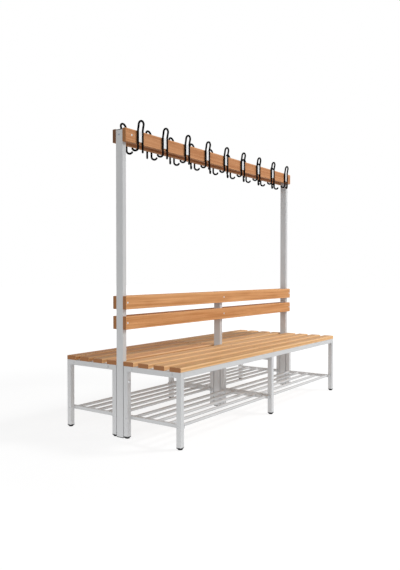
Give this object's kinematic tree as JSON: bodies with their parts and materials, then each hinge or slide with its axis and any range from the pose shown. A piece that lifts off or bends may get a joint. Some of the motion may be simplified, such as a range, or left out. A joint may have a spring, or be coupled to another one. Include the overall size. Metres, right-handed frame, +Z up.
{
  "type": "double-sided cloakroom bench",
  "caption": "Free-standing double-sided cloakroom bench with slatted timber seats, backrests, shoe racks and a high rail of coat hooks on each side, on a grey steel tube frame.",
  "frame": {"origin": "on the floor under the middle of the bench", "axes": "+X along the bench, -Y the front seat's side, +Z up"},
  "size_m": [2.0056, 0.87, 1.8085],
  "materials": {
    "grey_steel": "light grey powder coat, fine orange peel, satin",
    "beech": "planed beech, clear satin varnish",
    "black_plastic": "moulded black plastic, fine grain",
    "black_coating": "black plastic coating over steel wire",
    "clamp_alloy": "bright brushed aluminium",
    "zinc_steel": "bright zinc plating",
    "grey_plastic": "moulded grey plastic"
  },
  "bodies": {
    "bench": {"backrest_slat_back_lower": "beech", "backrest_slat_back_upper": "beech", "backrest_slat_front_lower": "beech", "backrest_slat_front_upper": "beech", "board_brackets": "grey_steel", "bracket_bolts": "zinc_steel", "coat_board_back": "beech", "coat_board_front": "beech", "coat_hooks_back": "black_coating", "coat_hooks_front": "black_coating", "coupling_rail_back": "grey_steel", "coupling_rail_front": "grey_steel", "foot_inserts": "black_plastic", "frame_bolts": "zinc_steel", "frame_nuts": "zinc_steel", "hook_clamps": "clamp_alloy", "hook_screws": "zinc_steel", "leg_frame_back_centre": "grey_steel", "leg_frame_back_left": "grey_steel", "leg_frame_back_right": "grey_steel", "leg_frame_front_centre": "grey_steel", "leg_frame_front_left": "grey_steel", "leg_frame_front_right": "grey_steel", "post_caps": "black_plastic", "post_centre": "grey_steel", "post_left": "grey_steel", "post_right": "grey_steel", "post_spacers": "zinc_steel", "rack_bolts": "zinc_steel", "seat_rails_back_left": "grey_steel", "seat_rails_back_right": "grey_steel", "seat_rails_front_left": "grey_steel", "seat_rails_front_right": "grey_steel", "seat_slat_back_1": "beech", "seat_slat_back_2": "beech", "seat_slat_back_3": "beech", "seat_slat_back_4": "beech", "seat_slat_front_1": "beech", "seat_slat_front_2": "beech", "seat_slat_front_3": "beech", "seat_slat_front_4": "beech", "shoe_rack_back_left": "grey_steel", "shoe_rack_back_right": "grey_steel", "shoe_rack_front_left": "grey_steel", "shoe_rack_front_right": "grey_steel", "slat_screws": "zinc_steel", "timber_screws": "zinc_steel", "tube_plugs": "grey_plastic"},
    "foot_back_centre_inner": {"levelling_foot_back_centre_inner": "black_plastic"},
    "foot_back_centre_outer": {"levelling_foot_back_centre_outer": "black_plastic"},
    "foot_back_left_inner": {"levelling_foot_back_left_inner": "black_plastic"},
    "foot_back_left_outer": {"levelling_foot_back_left_outer": "black_plastic"},
    "foot_back_right_inner": {"levelling_foot_back_right_inner": "black_plastic"},
    "foot_back_right_outer": {"levelling_foot_back_right_outer": "black_plastic"},
    "foot_front_centre_inner": {"levelling_foot_front_centre_inner": "black_plastic"},
    "foot_front_centre_outer": {"levelling_foot_front_centre_outer": "black_plastic"},
    "foot_front_left_inner": {"levelling_foot_front_left_inner": "black_plastic"},
    "foot_front_left_outer": {"levelling_foot_front_left_outer": "black_plastic"},
    "foot_front_right_inner": {"levelling_foot_front_right_inner": "black_plastic"},
    "foot_front_right_outer": {"levelling_foot_front_right_outer": "black_plastic"}
  },
  "joints": [
    {"name": "foot_back_centre_inner_height", "type": "slide", "parent": "bench", "child": "foot_back_centre_inner", "axis": [0, 0, -1], "range_m": [0, 0.01]},
    {"name": "foot_back_centre_outer_height", "type": "slide", "parent": "bench", "child": "foot_back_centre_outer", "axis": [0, 0, -1], "range_m": [0, 0.01]},
    {"name": "foot_back_left_inner_height", "type": "slide", "parent": "bench", "child": "foot_back_left_inner", "axis": [0, 0, -1], "range_m": [0, 0.01]},
    {"name": "foot_back_left_outer_height", "type": "slide", "parent": "bench", "child": "foot_back_left_outer", "axis": [0, 0, -1], "range_m": [0, 0.01]},
    {"name": "foot_back_right_inner_height", "type": "slide", "parent": "bench", "child": "foot_back_right_inner", "axis": [0, 0, -1], "range_m": [0, 0.01]},
    {"name": "foot_back_right_outer_height", "type": "slide", "parent": "bench", "child": "foot_back_right_outer", "axis": [0, 0, -1], "range_m": [0, 0.01]},
    {"name": "foot_front_centre_inner_height", "type": "slide", "parent": "bench", "child": "foot_front_centre_inner", "axis": [0, 0, -1], "range_m": [0, 0.01]},
    {"name": "foot_front_centre_outer_height", "type": "slide", "parent": "bench", "child": "foot_front_centre_outer", "axis": [0, 0, -1], "range_m": [0, 0.01]},
    {"name": "foot_front_left_inner_height", "type": "slide", "parent": "bench", "child": "foot_front_left_inner", "axis": [0, 0, -1], "range_m": [0, 0.01]},
    {"name": "foot_front_left_outer_height", "type": "slide", "parent": "bench", "child": "foot_front_left_outer", "axis": [0, 0, -1], "range_m": [0, 0.01]},
    {"name": "foot_front_right_inner_height", "type": "slide", "parent": "bench", "child": "foot_front_right_inner", "axis": [0, 0, -1], "range_m": [0, 0.01]},
    {"name": "foot_front_right_outer_height", "type": "slide", "parent": "bench", "child": "foot_front_right_outer", "axis": [0, 0, -1], "range_m": [0, 0.01]}
  ]
}
